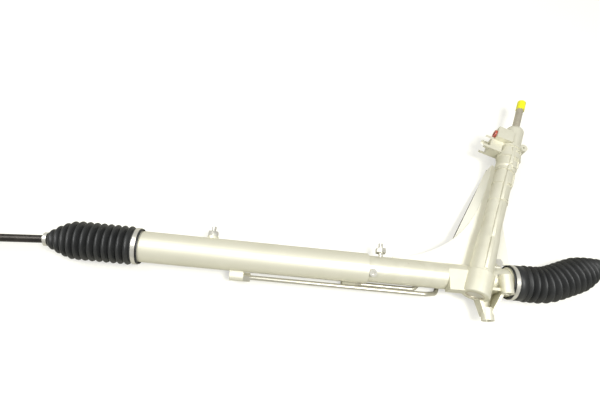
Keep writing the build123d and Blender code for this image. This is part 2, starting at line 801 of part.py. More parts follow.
with BuildPart() as circlip:
    with BuildSketch(across(column_line, circlip_start)) as clip_outline:
        Circle(plug_d / 2 + 0.8)
        Circle(plug_d / 2 - circlip_width, mode=Mode.SUBTRACT)
        eye_middle = plug_d / 2 - circlip_eye_d / 2 - 0.4
        with PolarLocations(eye_middle / 2, 1, start_angle=135):
            Rectangle(eye_middle * 3, 7, mode=Mode.SUBTRACT)
        for eye_angle in (135 - 20, 135 + 20):
            with PolarLocations(eye_middle, 1, start_angle=eye_angle):
                Circle(circlip_eye_d / 2)
                Circle(circlip_eye_d / 5, mode=Mode.SUBTRACT)
    extrude(amount=circlip_thick)
circlip.part.label = "circlip"

with BuildPart() as needle_bush:
    ring(column_line, needle_start, needle_start + needle_length, shaft_d + 2 * running_fit, needle_od)
needle_bush.part.label = "needle_bush"

with BuildPart() as input_bush:
    input_bush_end = input_bush_start + input_bush_length
    ring(column_line, input_bush_start, input_bush_end, input_seal_d + 2 * running_fit, input_bush_od)
input_bush.part.label = "input_bush"

with BuildPart() as input_seal:
    seal_end = input_seal_start + input_seal_width
    ring(column_line, input_seal_start, seal_end, input_seal_d + 2 * running_fit, input_bush_od)
input_seal.part.label = "input_seal"

with BuildPart() as rack_bush:
    ring(rack_line, housing_right - bush_length, housing_right, rack_d + 2 * running_fit, bush_od)
rack_bush.part.label = "rack_bush"

with BuildPart() as bulkhead_seal:
    seal_left = tube_right - spigot_length
    ring(rack_line, seal_left, seal_left + seal_width, rack_d + 2 * running_fit, seal_d)
bulkhead_seal.part.label = "bulkhead_seal"

with BuildPart() as cylinder_gland:
    ring(rack_line, gland_x, gland_x + gland_length, rack_d + 2 * running_fit, tube_bore)
    bar(rack_line, gland_x + gland_length - seal_width, gland_x + gland_length, seal_d, mode=Mode.SUBTRACT)
cylinder_gland.part.label = "cylinder_gland"

with BuildPart() as gland_seal:
    gland_end = gland_x + gland_length
    ring(rack_line, gland_end - seal_width, gland_end, rack_d + 2 * running_fit, seal_d)
gland_seal.part.label = "gland_seal"

with BuildPart() as end_bush:
    end_bush_right = tube_left + retaining_wire_d + end_bush_length
    ring(rack_line, tube_left + retaining_wire_d, end_bush_right, rack_d + 2 * running_fit, tube_bore)
end_bush.part.label = "end_bush"

with BuildPart() as retaining_ring:
    ring(rack_line, tube_left, tube_left + retaining_wire_d, tube_bore - 4 * retaining_wire_d, tube_bore)
retaining_ring.part.label = "retaining_ring"

# Piston
with BuildPart() as piston:
    piston_left = piston_x - piston_length / 2
    piston_d = tube_bore - 2 * running_fit
    ring(rack_line, piston_left, piston_left + piston_length, piston_seat_d, piston_d)
    ring_left = piston_x - piston_ring_width / 2
    ring(rack_line, ring_left, ring_left + piston_ring_width, piston_d - 6, piston_d + 1, mode=Mode.SUBTRACT)
piston.part.label = "piston"

with BuildPart() as piston_ring:
    ring(rack_line, ring_left, ring_left + piston_ring_width, piston_d - 6, piston_d)
piston_ring.part.label = "piston_ring"

# Yoke, its spring washer, the adjusting plug and its lock nut
with BuildPart() as yoke:
    bar(yoke_line, yoke_top, yoke_bottom, yoke_d - 2 * running_fit)
    bar(rack_line, -yoke_d, yoke_d, rack_d + 2 * running_fit, mode=Mode.SUBTRACT)
yoke.part.label = "yoke"

with BuildPart() as yoke_spring:
    turn(
        yoke_line,
        (yoke_bottom, yoke_spring_d / 4),
        (yoke_bottom, yoke_spring_d / 4 + 3),
        (yoke_plug_start, yoke_spring_d / 2),
        (yoke_plug_start, yoke_spring_d / 2 - 3),
    )
yoke_spring.part.label = "yoke_spring"

with BuildPart() as yoke_plug:
    bar(yoke_line, yoke_plug_start, yoke_plug_end, yoke_d)
    hexagon(yoke_line, yoke_plug_end - 6, yoke_plug_end, yoke_d / 2, mode=Mode.SUBTRACT)
yoke_plug.part.label = "yoke_plug"

with BuildPart() as yoke_lock_nut:
    hexagon(yoke_line, yoke_boss_end, yoke_boss_end + yoke_nut_height, yoke_nut_across)
    bar(yoke_line, yoke_boss_end, yoke_boss_end + yoke_nut_height, yoke_d, mode=Mode.SUBTRACT)
yoke_lock_nut.part.label = "yoke_lock_nut"

# Gusset plate: a pressed sheet with a hollow edge, which is turned down towards the tower
hollow_edge = [flat(plate_left, 26), flat(-94, 41), flat(-24, 84), flat(21, 143), flat(plate_tip_x, plate_tip_y)]
plate_corner = flat(plate_tip_x + plate_tip_width, plate_tip_y - plate_tip_drop)
with BuildSketch(Plane.XY) as plate_outline:
    with BuildLine():
        edge = Spline(*hollow_edge)
        Polyline(
            edge @ 1,
            plate_corner,
            flat(69, 150),
            flat(68.5, 106),
            flat(plate_right, 60),
            flat(plate_right, plate_notch_y),
            flat(plate_notch_x, plate_notch_y),
            flat(plate_notch_x, plate_front),
            flat(plate_left, plate_front),
            edge @ 0,
        )
    make_face()

with BuildPart() as plate_flange:
    with BuildSketch(Plane.XY.offset(crossing.Z + plate_bottom)):
        add(plate_outline.sketch)
        with Locations((plate_thick * 1.2, -plate_thick)):
            add(plate_outline.sketch, mode=Mode.SUBTRACT)
    extrude(amount=-plate_flange_depth)
    flange_start = plan(plate_flange_start_x, plate_flange_start_y, plate_bottom)
    flange_run = plan(plate_tip_x, plate_tip_y, plate_bottom) - flange_start
    slope_line = line(flange_start, flange_run)
    slope_reach = plate_right - plate_left
    with BuildSketch(slope_line) as below_flange:
        with BuildLine():
            Polyline(
                (-slope_reach, 0),
                (0, 0),
                (flange_run.length, -plate_flange_depth),
                (flange_run.length + slope_reach, -plate_flange_depth),
                (flange_run.length + slope_reach, -2 * plate_flange_depth),
                (-slope_reach, -2 * plate_flange_depth),
                close=True,
            )
        make_face()
    extrude(amount=slope_reach, both=True, mode=Mode.SUBTRACT)

hidden_bolt_line = line(Vector(hidden_bolt.X, hidden_bolt.Y, crossing.Z + plate_bottom), up, (1, 0, 0))
plate_bolt_line = line(plan(plate_bolt_x, plate_bolt_y, plate_top), (0, 0, -1), (1, 0, 0))
with BuildPart() as gusset_plate:
    with BuildSketch(Plane.XY.offset(crossing.Z + plate_bottom)):
        add(plate_outline.sketch)
    extrude(amount=plate_thick)
    add(plate_flange.part)
    for hole_line in (plate_bolt_line, hidden_bolt_line):
        bar(hole_line, 0, plate_thick, plate_bolt_d, mode=Mode.SUBTRACT)
gusset_plate.part.label = "gusset_plate"


def relieve_thread(axis, nut_end, thread_d):
    # A shallow groove where a thread leaves its nut
    groove_end = nut_end + thread_relief_gap
    groove_d = thread_d - 2 * thread_relief
    ring(axis, groove_end - thread_relief_width, groove_end, groove_d, thread_d + 1, mode=Mode.SUBTRACT)


# Fasteners
with BuildPart() as plate_bolts:
    for bolt_line in (plate_bolt_line, hidden_bolt_line):
        bar(bolt_line, 0, plate_thick + plate_bolt_grip, plate_bolt_d)
        bar(bolt_line, -plate_bolt_washer, 0, plate_washer_d)
        hexagon(bolt_line, -plate_bolt_washer - plate_bolt_head, -plate_bolt_washer, plate_bolt_across)
plate_bolts.part.label = "plate_bolts"

with BuildPart() as locating_screw:
    bar(screw_line, housing_od / 2, housing_od / 2 + screw_head, screw_head_d)
    hexagon(screw_line, housing_od / 2 + screw_head / 2, housing_od / 2 + screw_head, screw_d, mode=Mode.SUBTRACT)
    bar(rack_line, tube_right, screw_x + screw_head_d, housing_od, mode=Mode.SUBTRACT)
    bar(screw_line, screw_tip, housing_od / 2, screw_d)
locating_screw.part.label = "locating_screw"

with BuildPart() as mounting_studs:
    for stud_line, stud_start in ((stud_left_line, tube_bore / 2 + 1), (stud_right_line, stud_root)):
        bar(stud_line, stud_start, stud_tip, stud_d)
        bar(stud_line, stud_nut_bottom - 2, stud_nut_bottom, stud_collar_d)
        relieve_thread(stud_line, stud_nut_bottom + stud_nut_height, stud_d)
mounting_studs.part.label = "mounting_studs"

with BuildPart() as stud_nuts:
    for stud_line in (stud_left_line, stud_right_line):
        hexagon(stud_line, stud_nut_bottom, stud_nut_bottom + stud_nut_height, stud_nut_across)
        bar(stud_line, stud_nut_bottom, stud_nut_bottom + stud_nut_height, stud_d, mode=Mode.SUBTRACT)
stud_nuts.part.label = "stud_nuts"

# Fluid pipes from the tower to the two ends of the cylinder
pipe_inset = half_port - pipe_entry
port_left_line = port_lines[0][0]
port_right_line = port_lines[1][0]
upper_union = union_lines[0]
lower_union = union_lines[1]


def pipe_start(union, level_z, run):
    # The upright stretch under a pipe boss, and the level run that it turns into
    top = spot(union, pipe_entry)
    foot = Vector(top.X, top.Y, crossing.Z + level_z)
    return top, foot, foot + Vector(*run)


def pipe_end(port, lead):
    # The two points of the straight stretch into a boss on the cylinder
    return spot(port, half_port + lead), spot(port, pipe_inset)


short_route = [
    *pipe_start(upper_union, pipe_level, short_run),
    plan(31, 128, pipe_level),
    plan(-16, 73, pipe_level),
    plan(-68, 41, pipe_level - 2),
    plan(-82, 4, -31),
    *pipe_end(port_right_line, short_lead),
]
short_bends = [8.0, 30.0, 60.0, 60.0, 20.0, 12.0, 12.0]
long_route = [
    *pipe_start(lower_union, pipe_level - 6, long_run),
    plan(46, 122, pipe_level - 3),
    plan(-4, 62, pipe_level - 3),
    plan(-44, 38, pipe_level - 5),
    plan(-54, 6, -32),
    plan(-66, -27, -27),
    *pipe_end(port_left_line, long_lead),
]
long_bends = [8.0, 30.0, 60.0, 60.0, 20.0, 14.0, 10.0, 10.0]


def pipe(route, bends):
    # A bent pipe: straight runs joined by arcs
    with BuildLine() as path:
        FilletPolyline(*route, radius=bends)
    start = route[0]
    with BuildSketch(across(line(start, route[1] - start, (1, 0, 0)), 0)) as section:
        Circle(pipe_d / 2)
    sweep(section.sketch, path=path.line)


with BuildPart() as pipe_short:
    pipe(short_route, short_bends)
pipe_short.part.label = "pipe_short"

with BuildPart() as pipe_long:
    pipe(long_route, long_bends)
pipe_long.part.label = "pipe_long"

with BuildPart() as pipe_nuts:
    for port in (port_left_line, port_right_line):
        hexagon(port, half_port, half_port + pipe_nut_length, pipe_nut_across)
        bar(port, half_port, half_port + pipe_nut_length, pipe_d, mode=Mode.SUBTRACT)
    for union in union_lines:
        hexagon(union, -pipe_nut_length / 2, 0, pipe_nut_across)
        bar(union, -pipe_nut_length / 2, 0, pipe_d, mode=Mode.SUBTRACT)
pipe_nuts.part.label = "pipe_nuts"


# Ball joints: a turned steel housing on the rack's end, a plastic seat, and the tie rod's ball in it
def ball_section(axis, ball_start, ball_stop, radius, mode):
    # A ball on a centre line, cut off square at both sides
    with BuildSketch(axis) as half:
        Circle(radius)
        with Locations(((ball_start + ball_stop) / 2, radius)):
            Rectangle(ball_stop - ball_start, 2 * radius, mode=Mode.INTERSECT)
    revolve(half.sketch, axis=Axis(axis.origin, axis.x_dir), mode=mode)


seat_r = ball_d / 2 + running_fit + seat_wall
cavity_r = seat_r + running_fit


def ball_housing(joint_line):
    turn(
        joint_line,
        (-joint_back, 0),
        (-joint_back, joint_d / 2 - 1),
        (-joint_back + 1, joint_d / 2),
        (joint_front / 3, joint_d / 2),
        (joint_front, joint_nose_d / 2),
        (joint_front, 0),
    )
    bar(joint_line, -joint_back - joint_stud_length, -joint_back, joint_stud_d)
    for side in ((-joint_d, -joint_flats / 2), (joint_flats / 2, joint_d)):
        block(joint_line, -joint_back + 3, -joint_back + 12, side, (-joint_d, joint_d), mode=Mode.SUBTRACT)
    ball_section(joint_line, -cavity_r, joint_lip, cavity_r, Mode.SUBTRACT)
    lip_r = sqrt(cavity_r ** 2 - joint_lip ** 2)
    turn(
        joint_line,
        (joint_lip, 0),
        (joint_lip, lip_r),
        (joint_front, joint_mouth_d / 2),
        (joint_front, 0),
        mode=Mode.SUBTRACT,
    )


def ball_seat(joint_line):
    ball_section(joint_line, -seat_r, joint_lip - 1, seat_r, Mode.ADD)
    ball_section(joint_line, -ball_d / 2 - running_fit, joint_lip - 1, ball_d / 2 + running_fit, Mode.SUBTRACT)


def tie_rod(rod_line):
    ball_section(rod_line, -ball_flat, ball_d / 2 - 1.5, ball_d / 2, Mode.ADD)
    thread_start = tie_rod_length - tie_thread_length
    turn(
        rod_line,
        (0, 0),
        (0, tie_neck_d / 2),
        (joint_front, tie_neck_d / 2),
        (joint_front + 8, tie_rod_d / 2),
        (thread_start, tie_rod_d / 2),
        (thread_start, tie_thread_d / 2),
        (tie_rod_length - 1.5, tie_thread_d / 2),
        (tie_rod_length, tie_thread_d / 2 - 1.5),
        (tie_rod_length, 0),
    )
    for side in ((-tie_rod_d, -tie_flats / 2), (tie_flats / 2, tie_rod_d)):
        block(rod_line, tie_flats_start, tie_flats_start + tie_flats_length, (-tie_rod_d, tie_rod_d), side,
              mode=Mode.SUBTRACT)
    relieve_thread(rod_line, tie_nut_start + tie_nut_height, tie_thread_d)


def jam_nut(rod_line):
    hexagon(rod_line, tie_nut_start, tie_nut_start + tie_nut_height, tie_nut_across)
    bar(rod_line, tie_nut_start, tie_nut_start + tie_nut_height, tie_thread_d, mode=Mode.SUBTRACT)


with BuildPart() as ball_joint_left:
    ball_housing(joint_left_line)
ball_joint_left.part.label = "ball_joint_left"

with BuildPart() as ball_joint_right:
    ball_housing(joint_right_line)
ball_joint_right.part.label = "ball_joint_right"

with BuildPart() as ball_seat_left:
    ball_seat(rod_left_line)
ball_seat_left.part.label = "ball_seat_left"

with BuildPart() as ball_seat_right:
    ball_seat(rod_right_line)
ball_seat_right.part.label = "ball_seat_right"

with BuildPart() as tie_rod_left:
    tie_rod(rod_left_line)
tie_rod_left.part.label = "tie_rod_left"

with BuildPart() as tie_rod_right:
    tie_rod(rod_right_line)
tie_rod_right.part.label = "tie_rod_right"

with BuildPart() as jam_nut_left:
    jam_nut(rod_left_line)
jam_nut_left.part.label = "jam_nut_left"

with BuildPart() as jam_nut_right:
    jam_nut(rod_right_line)
jam_nut_right.part.label = "jam_nut_right"


# Boots: a cuff on the housing, a row of folds, and a small cuff on the tie rod
def boot_section(joint_line, distance, swing):
    # The plane square to the boot's middle line, which bends towards the tie rod at the ball
    if distance <= -boot_bend:
        return across(joint_line, distance)
    turned = radians(swing)
    if distance >= boot_bend:
        heading = joint_line.x_dir.rotate(Axis.Z, swing)
        return across(line(joint_line.origin, heading), distance)
    bend_r = boot_bend / tan(turned / 2)
    angle = turned * (distance + boot_bend) / (2 * boot_bend)
    start = spot(joint_line, -boot_bend)
    sideways = joint_line.z_dir * -1
    middle = start + joint_line.x_dir * (bend_r * sin(angle)) + sideways * (bend_r * (1 - cos(angle)))
    return across(line(middle, joint_line.x_dir.rotate(Axis.Z, degrees(angle))), 0)


def boot(joint_line, swing, big_end, small_end):
    # The folds as alternating small and large rings, joined one to the next
    folds_start = big_end + boot_cuff
    folds_end = small_end - boot_small_cuff
    half_fold = (folds_end - folds_start) / (2 * boot_folds)
    outer = [(big_end, tube_od / 2 + boot_cuff_wall), (folds_start, tube_od / 2 + boot_cuff_wall)]
    inner = [(big_end - 1, tube_od / 2), (folds_start, tube_od / 2)]
    for step in range(1, 2 * boot_folds + 1):
        taper = max(0, step - 2 * (boot_folds - boot_taper_folds)) / (2 * boot_taper_folds)
        crest = boot_crest_d + (boot_small_crest_d - boot_crest_d) * taper
        root = boot_root_d + (boot_small_root_d - boot_root_d) * taper
        radius = (crest if step % 2 else root) / 2
        distance = folds_start + step * half_fold
        outer.append((distance, radius))
        inner.append((distance, radius - boot_wall))
    rod_r = tie_rod_d / 2 + soft_gap
    outer.append((small_end, boot_small_root_d / 2))
    inner[-1] = (inner[-1][0], rod_r)
    inner.append((small_end + 1, rod_r))
    for rings, mode in ((outer, Mode.ADD), (inner, Mode.SUBTRACT)):
        sections = []
        for distance, radius in rings:
            with BuildSketch(boot_section(joint_line, distance, swing)) as section:
                Circle(radius)
            sections.append(section.sketch)
        loft(sections, ruled=True, mode=mode)


boot_start_left = -(tube_left + boot_cuff + 1) + ball_left_x
boot_start_right = housing_right - boot_seat_length - ball_right_x
with BuildPart() as boot_left:
    boot(joint_left_line, swing_left, boot_start_left, boot_end_left)
boot_left.part.label = "boot_left"

with BuildPart() as boot_right:
    boot(joint_right_line, swing_right, boot_start_right, boot_end_right)
boot_right.part.label = "boot_right"

clamp_inner_d = tube_od + 2 * boot_cuff_wall
with BuildPart() as boot_clamps:
    for joint_line, boot_start in ((joint_left_line, boot_start_left), (joint_right_line, boot_start_right)):
        clamp_start = boot_start + (boot_cuff - clamp_width) / 2
        ring(joint_line, clamp_start, clamp_start + clamp_width, clamp_inner_d, clamp_inner_d + 2 * clamp_thick)
boot_clamps.part.label = "boot_clamps"

small_clamp_d = boot_small_root_d + 2 * soft_gap


def small_clamp(rod_line, boot_end):
    clamp_start = boot_end - (boot_small_cuff + small_clamp_width) / 2
    ring(rod_line, clamp_start, clamp_start + small_clamp_width, small_clamp_d, small_clamp_d + 2 * clamp_thick)


with BuildPart() as small_clamp_left:
    small_clamp(rod_left_line, boot_end_left)
small_clamp_left.part.label = "small_clamp_left"

with BuildPart() as small_clamp_right:
    small_clamp(rod_right_line, boot_end_right)
small_clamp_right.part.label = "small_clamp_right"

parts = [
    pinion_shaft, rack_bar, rack_housing, cylinder_tube, valve_tower, valve_head, valve_sleeve, sleeve_rings,
    torsion_bar, torsion_pin, input_shaft, shaft_cap, port_plug, bearing_outer, bearing_inner, bearing_balls,
    pinion_nut, end_plug, circlip, needle_bush, input_bush, input_seal, rack_bush, bulkhead_seal,
    cylinder_gland, gland_seal, end_bush, retaining_ring, piston, piston_ring, yoke, yoke_spring, yoke_plug,
    yoke_lock_nut, gusset_plate, plate_bolts, locating_screw, mounting_studs, stud_nuts, pipe_short, pipe_long,
    pipe_nuts, ball_joint_left, ball_joint_right, ball_seat_left, ball_seat_right, tie_rod_left,
    tie_rod_right, jam_nut_left, jam_nut_right, boot_left, boot_right, boot_clamps, small_clamp_left,
    small_clamp_right,
]
os.makedirs("parts", exist_ok=True)
for made in parts:
    export_step(made.part, f"parts/{made.part.label}.step")
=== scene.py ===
import bpy
import math
from mathutils import Matrix, Vector


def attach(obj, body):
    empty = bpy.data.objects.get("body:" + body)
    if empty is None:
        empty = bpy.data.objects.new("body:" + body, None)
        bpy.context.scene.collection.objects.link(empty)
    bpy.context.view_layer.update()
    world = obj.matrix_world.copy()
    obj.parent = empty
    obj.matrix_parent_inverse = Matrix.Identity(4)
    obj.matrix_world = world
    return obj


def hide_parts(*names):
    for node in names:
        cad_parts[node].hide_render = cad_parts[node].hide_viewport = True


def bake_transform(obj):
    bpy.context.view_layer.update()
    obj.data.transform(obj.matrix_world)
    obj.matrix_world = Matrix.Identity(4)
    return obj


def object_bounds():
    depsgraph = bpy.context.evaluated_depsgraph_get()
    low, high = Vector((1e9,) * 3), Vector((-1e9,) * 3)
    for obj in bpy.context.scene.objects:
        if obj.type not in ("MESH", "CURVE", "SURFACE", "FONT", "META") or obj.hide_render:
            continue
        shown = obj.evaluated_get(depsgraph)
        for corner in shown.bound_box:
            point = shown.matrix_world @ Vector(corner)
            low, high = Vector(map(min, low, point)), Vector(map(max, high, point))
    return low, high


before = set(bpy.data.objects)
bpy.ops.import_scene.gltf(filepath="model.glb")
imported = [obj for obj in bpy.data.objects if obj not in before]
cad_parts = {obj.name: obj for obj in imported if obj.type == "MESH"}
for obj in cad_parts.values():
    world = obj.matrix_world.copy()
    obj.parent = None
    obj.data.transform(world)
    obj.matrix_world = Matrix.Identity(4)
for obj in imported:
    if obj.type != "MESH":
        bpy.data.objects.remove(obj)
cadLow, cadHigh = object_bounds()
bpy.ops.object.select_all(action="DESELECT")


# Helpers for making and finishing pieces

unit = 0.001  # metres in a millimetre


def mm(*values):
    return Vector(values) * unit


def pick(piece):
    # one piece alone selected and active
    bpy.ops.object.select_all(action="DESELECT")
    piece.select_set(True)
    bpy.context.view_layer.objects.active = piece


def startEdit(piece, mode="FACE"):
    # one piece alone in edit mode, with nothing selected in it
    pick(piece)
    bpy.ops.object.mode_set(mode="EDIT")
    bpy.ops.mesh.select_mode(type=mode)
    bpy.ops.mesh.select_all(action="DESELECT")


def endEdit():
    bpy.ops.object.mode_set(mode="OBJECT")
    bpy.ops.object.select_all(action="DESELECT")


def addModifier(piece, kind, **settings):
    # a modifier with its settings, applied at once
    pick(piece)
    modifier = piece.modifiers.new(kind.title(), kind)
    for name, value in settings.items():
        setattr(modifier, name, value)
    bpy.ops.object.modifier_apply(modifier=modifier.name)
    piece.select_set(False)


def copyPiece(piece, name):
    # a copy with a mesh of its own
    pick(piece)
    bpy.ops.object.duplicate()
    copy = bpy.context.object
    copy.name = name
    return copy


def settle(piece, angle=35):
    # the piece's place goes into its mesh, and its faces are smoothed up to an angle
    pick(piece)
    bpy.ops.object.transform_apply(location=True, rotation=True, scale=True)
    bpy.ops.object.shade_smooth_by_angle(angle=math.radians(angle))
    piece.select_set(False)


def directions(degrees):
    # the way ahead and the way to its left, flat on the floor
    turned = math.radians(degrees)
    return Vector((math.cos(turned), math.sin(turned), 0)), Vector((-math.sin(turned), math.cos(turned), 0))


def facing(along, across, outward, place):
    # the matrix that lays a piece's x, y and z on three directions
    matrix = Matrix((along, across, outward)).transposed().to_4x4()
    matrix.translation = place
    return matrix


def dress(piece, material):
    piece.data.materials.clear()
    piece.data.materials.append(material)


# Shader groups that more than one finish uses

noises = {
    "fine": {"Detail": 4.0, "Roughness": 0.6},
    "patches": {"Detail": 6.0, "Distortion": 0.4},
    "spots": {"Detail": 8.0, "Roughness": 0.7},
    "patchSpread": (-0.6, 1.6),
    "spotSharpness": 8.0,
}


def newGroup(name, inputs, outputs):
    group = bpy.data.node_groups.new(name, "ShaderNodeTree")
    for socketName, kind, value in inputs:
        socket = group.interface.new_socket(socketName, in_out="INPUT", socket_type=kind)
        if value is not None:
            socket.default_value = value
    for socketName, kind in outputs:
        group.interface.new_socket(socketName, in_out="OUTPUT", socket_type=kind)
    return group, group.nodes.new("NodeGroupInput"), group.nodes.new("NodeGroupOutput")


def addNoise(group, kind):
    noise = group.nodes.new("ShaderNodeTexNoise")
    for name, value in noises[kind].items():
        noise.inputs[name].default_value = value
    return noise


def makeGrainGroup():
    # sand-cast or orange-peel surface: a height, and slow patches for colour
    group, start, end = newGroup(
        "surfaceGrain",
        [("Scale", "NodeSocketFloat", 900.0), ("Patch Scale", "NodeSocketFloat", 25.0)],
        [("Height", "NodeSocketFloat"), ("Patches", "NodeSocketFloat")],
    )
    place = group.nodes.new("ShaderNodeTexCoord")
    fine = addNoise(group, "fine")
    patches = addNoise(group, "patches")
    links = group.links
    links.new(place.outputs["Object"], fine.inputs["Vector"])
    links.new(place.outputs["Object"], patches.inputs["Vector"])
    links.new(start.outputs["Scale"], fine.inputs["Scale"])
    links.new(start.outputs["Patch Scale"], patches.inputs["Scale"])
    links.new(fine.outputs["Fac"], end.inputs["Height"])
    links.new(patches.outputs["Fac"], end.inputs["Patches"])
    return group


def makeStainGroup():
    # small dark or dusty marks, scarce where Amount is low
    group, start, end = newGroup(
        "marks",
        [("Scale", "NodeSocketFloat", 120.0), ("Amount", "NodeSocketFloat", 0.35)],
        [("Mask", "NodeSocketFloat")],
    )
    place = group.nodes.new("ShaderNodeTexCoord")
    spots = addNoise(group, "spots")
    edge = group.nodes.new("ShaderNodeMath")
    edge.operation = "SUBTRACT"
    sharp = group.nodes.new("ShaderNodeMath")
    sharp.operation = "MULTIPLY"
    sharp.inputs[1].default_value = noises["spotSharpness"]
    sharp.use_clamp = True
    links = group.links
    links.new(place.outputs["Object"], spots.inputs["Vector"])
    links.new(start.outputs["Scale"], spots.inputs["Scale"])
    flip = group.nodes.new("ShaderNodeMath")
    flip.operation = "SUBTRACT"
    flip.inputs[0].default_value = 1.0
    links.new(start.outputs["Amount"], flip.inputs[1])
    links.new(spots.outputs["Fac"], edge.inputs[0])
    links.new(flip.outputs["Value"], edge.inputs[1])
    links.new(edge.outputs["Value"], sharp.inputs[0])
    links.new(sharp.outputs["Value"], end.inputs["Mask"])
    return group


def makeThreadGroup():
    # turned rings or a screw thread across a line: a height from the distance along it
    group, start, end = newGroup(
        "turnedRings",
        [("Pitch Scale", "NodeSocketFloat", 500.0), ("Turn", "NodeSocketVector", None)],
        [("Height", "NodeSocketFloat")],
    )
    place = group.nodes.new("ShaderNodeTexCoord")
    aim = group.nodes.new("ShaderNodeMapping")
    rings = group.nodes.new("ShaderNodeTexWave")
    rings.wave_type = "BANDS"
    rings.bands_direction = "X"
    rings.wave_profile = "TRI"
    links = group.links
    links.new(place.outputs["Object"], aim.inputs["Vector"])
    links.new(start.outputs["Turn"], aim.inputs["Rotation"])
    links.new(aim.outputs["Vector"], rings.inputs["Vector"])
    links.new(start.outputs["Pitch Scale"], rings.inputs["Scale"])
    links.new(rings.outputs["Fac"], end.inputs["Height"])
    return group


grainGroup = makeGrainGroup()
markGroup = makeStainGroup()
ringGroup = makeThreadGroup()


def placeGroup(tree, group, **values):
    node = tree.nodes.new("ShaderNodeGroup")
    node.node_tree = group
    for name, value in values.items():
        node.inputs[name.replace("_", " ")].default_value = value
    return node


def mixColours(tree, mask, low, high):
    # low and high are colours, or sockets that give them
    mix = tree.nodes.new("ShaderNodeMix")
    mix.data_type = "RGBA"
    tree.links.new(mask, mix.inputs["Factor"])
    for socket, value in ((mix.inputs["A"], low), (mix.inputs["B"], high)):
        if isinstance(value, bpy.types.NodeSocket):
            tree.links.new(value, socket)
        else:
            socket.default_value = (*value, 1.0)
    return mix.outputs["Result"]


def rangeOf(tree, source, low, high):
    # turns a mask into a value from low to high
    spread = tree.nodes.new("ShaderNodeMapRange")
    spread.inputs["To Min"].default_value = low
    spread.inputs["To Max"].default_value = high
    tree.links.new(source, spread.inputs["Value"])
    return spread.outputs["Result"]


def addBump(tree, height, strength, depth):
    bump = tree.nodes.new("ShaderNodeBump")
    bump.inputs["Strength"].default_value = strength
    bump.inputs["Distance"].default_value = depth
    tree.links.new(height, bump.inputs["Height"])
    return bump


def makeFinish(name, look):
    # one finish from its settings: two colours, marks, roughness, metal, grain and rings
    material = bpy.data.materials.new(name)
    material.use_nodes = True
    tree = material.node_tree
    shader = tree.nodes["Principled BSDF"]
    shader.inputs["Metallic"].default_value = look["metal"]
    shader.inputs["Coat Weight"].default_value = look.get("coat", 0.0)
    shader.inputs["Coat Roughness"].default_value = look.get("coatRoughness", 0.2)
    shader.inputs["Specular IOR Level"].default_value = look.get("specular", 0.5)
    grain = placeGroup(tree, grainGroup, Scale=look["grainScale"], Patch_Scale=look["patchScale"])
    marks = placeGroup(tree, markGroup, Scale=look["markScale"], Amount=look["markAmount"])
    patches = rangeOf(tree, grain.outputs["Patches"], *noises["patchSpread"])
    colour = mixColours(tree, patches, look["colour"], look["shade"])
    colour = mixColours(tree, marks.outputs["Mask"], colour, look["mark"])
    tree.links.new(colour, shader.inputs["Base Color"])
    roughness = rangeOf(tree, grain.outputs["Patches"], *look["roughness"])
    tree.links.new(roughness, shader.inputs["Roughness"])
    bump = addBump(tree, grain.outputs["Height"], look["bump"], look["bumpDepth"])
    if "rings" in look:
        rings = placeGroup(tree, ringGroup, Pitch_Scale=look["rings"]["scale"])
        rings.inputs["Turn"].default_value = (0, 0, -math.radians(look["rings"]["heading"]))
        ringBump = addBump(tree, rings.outputs["Height"], look["rings"]["strength"], look["rings"]["depth"])
        tree.links.new(bump.outputs["Normal"], ringBump.inputs["Normal"])
        bump = ringBump
    tree.links.new(bump.outputs["Normal"], shader.inputs["Normal"])
    return material


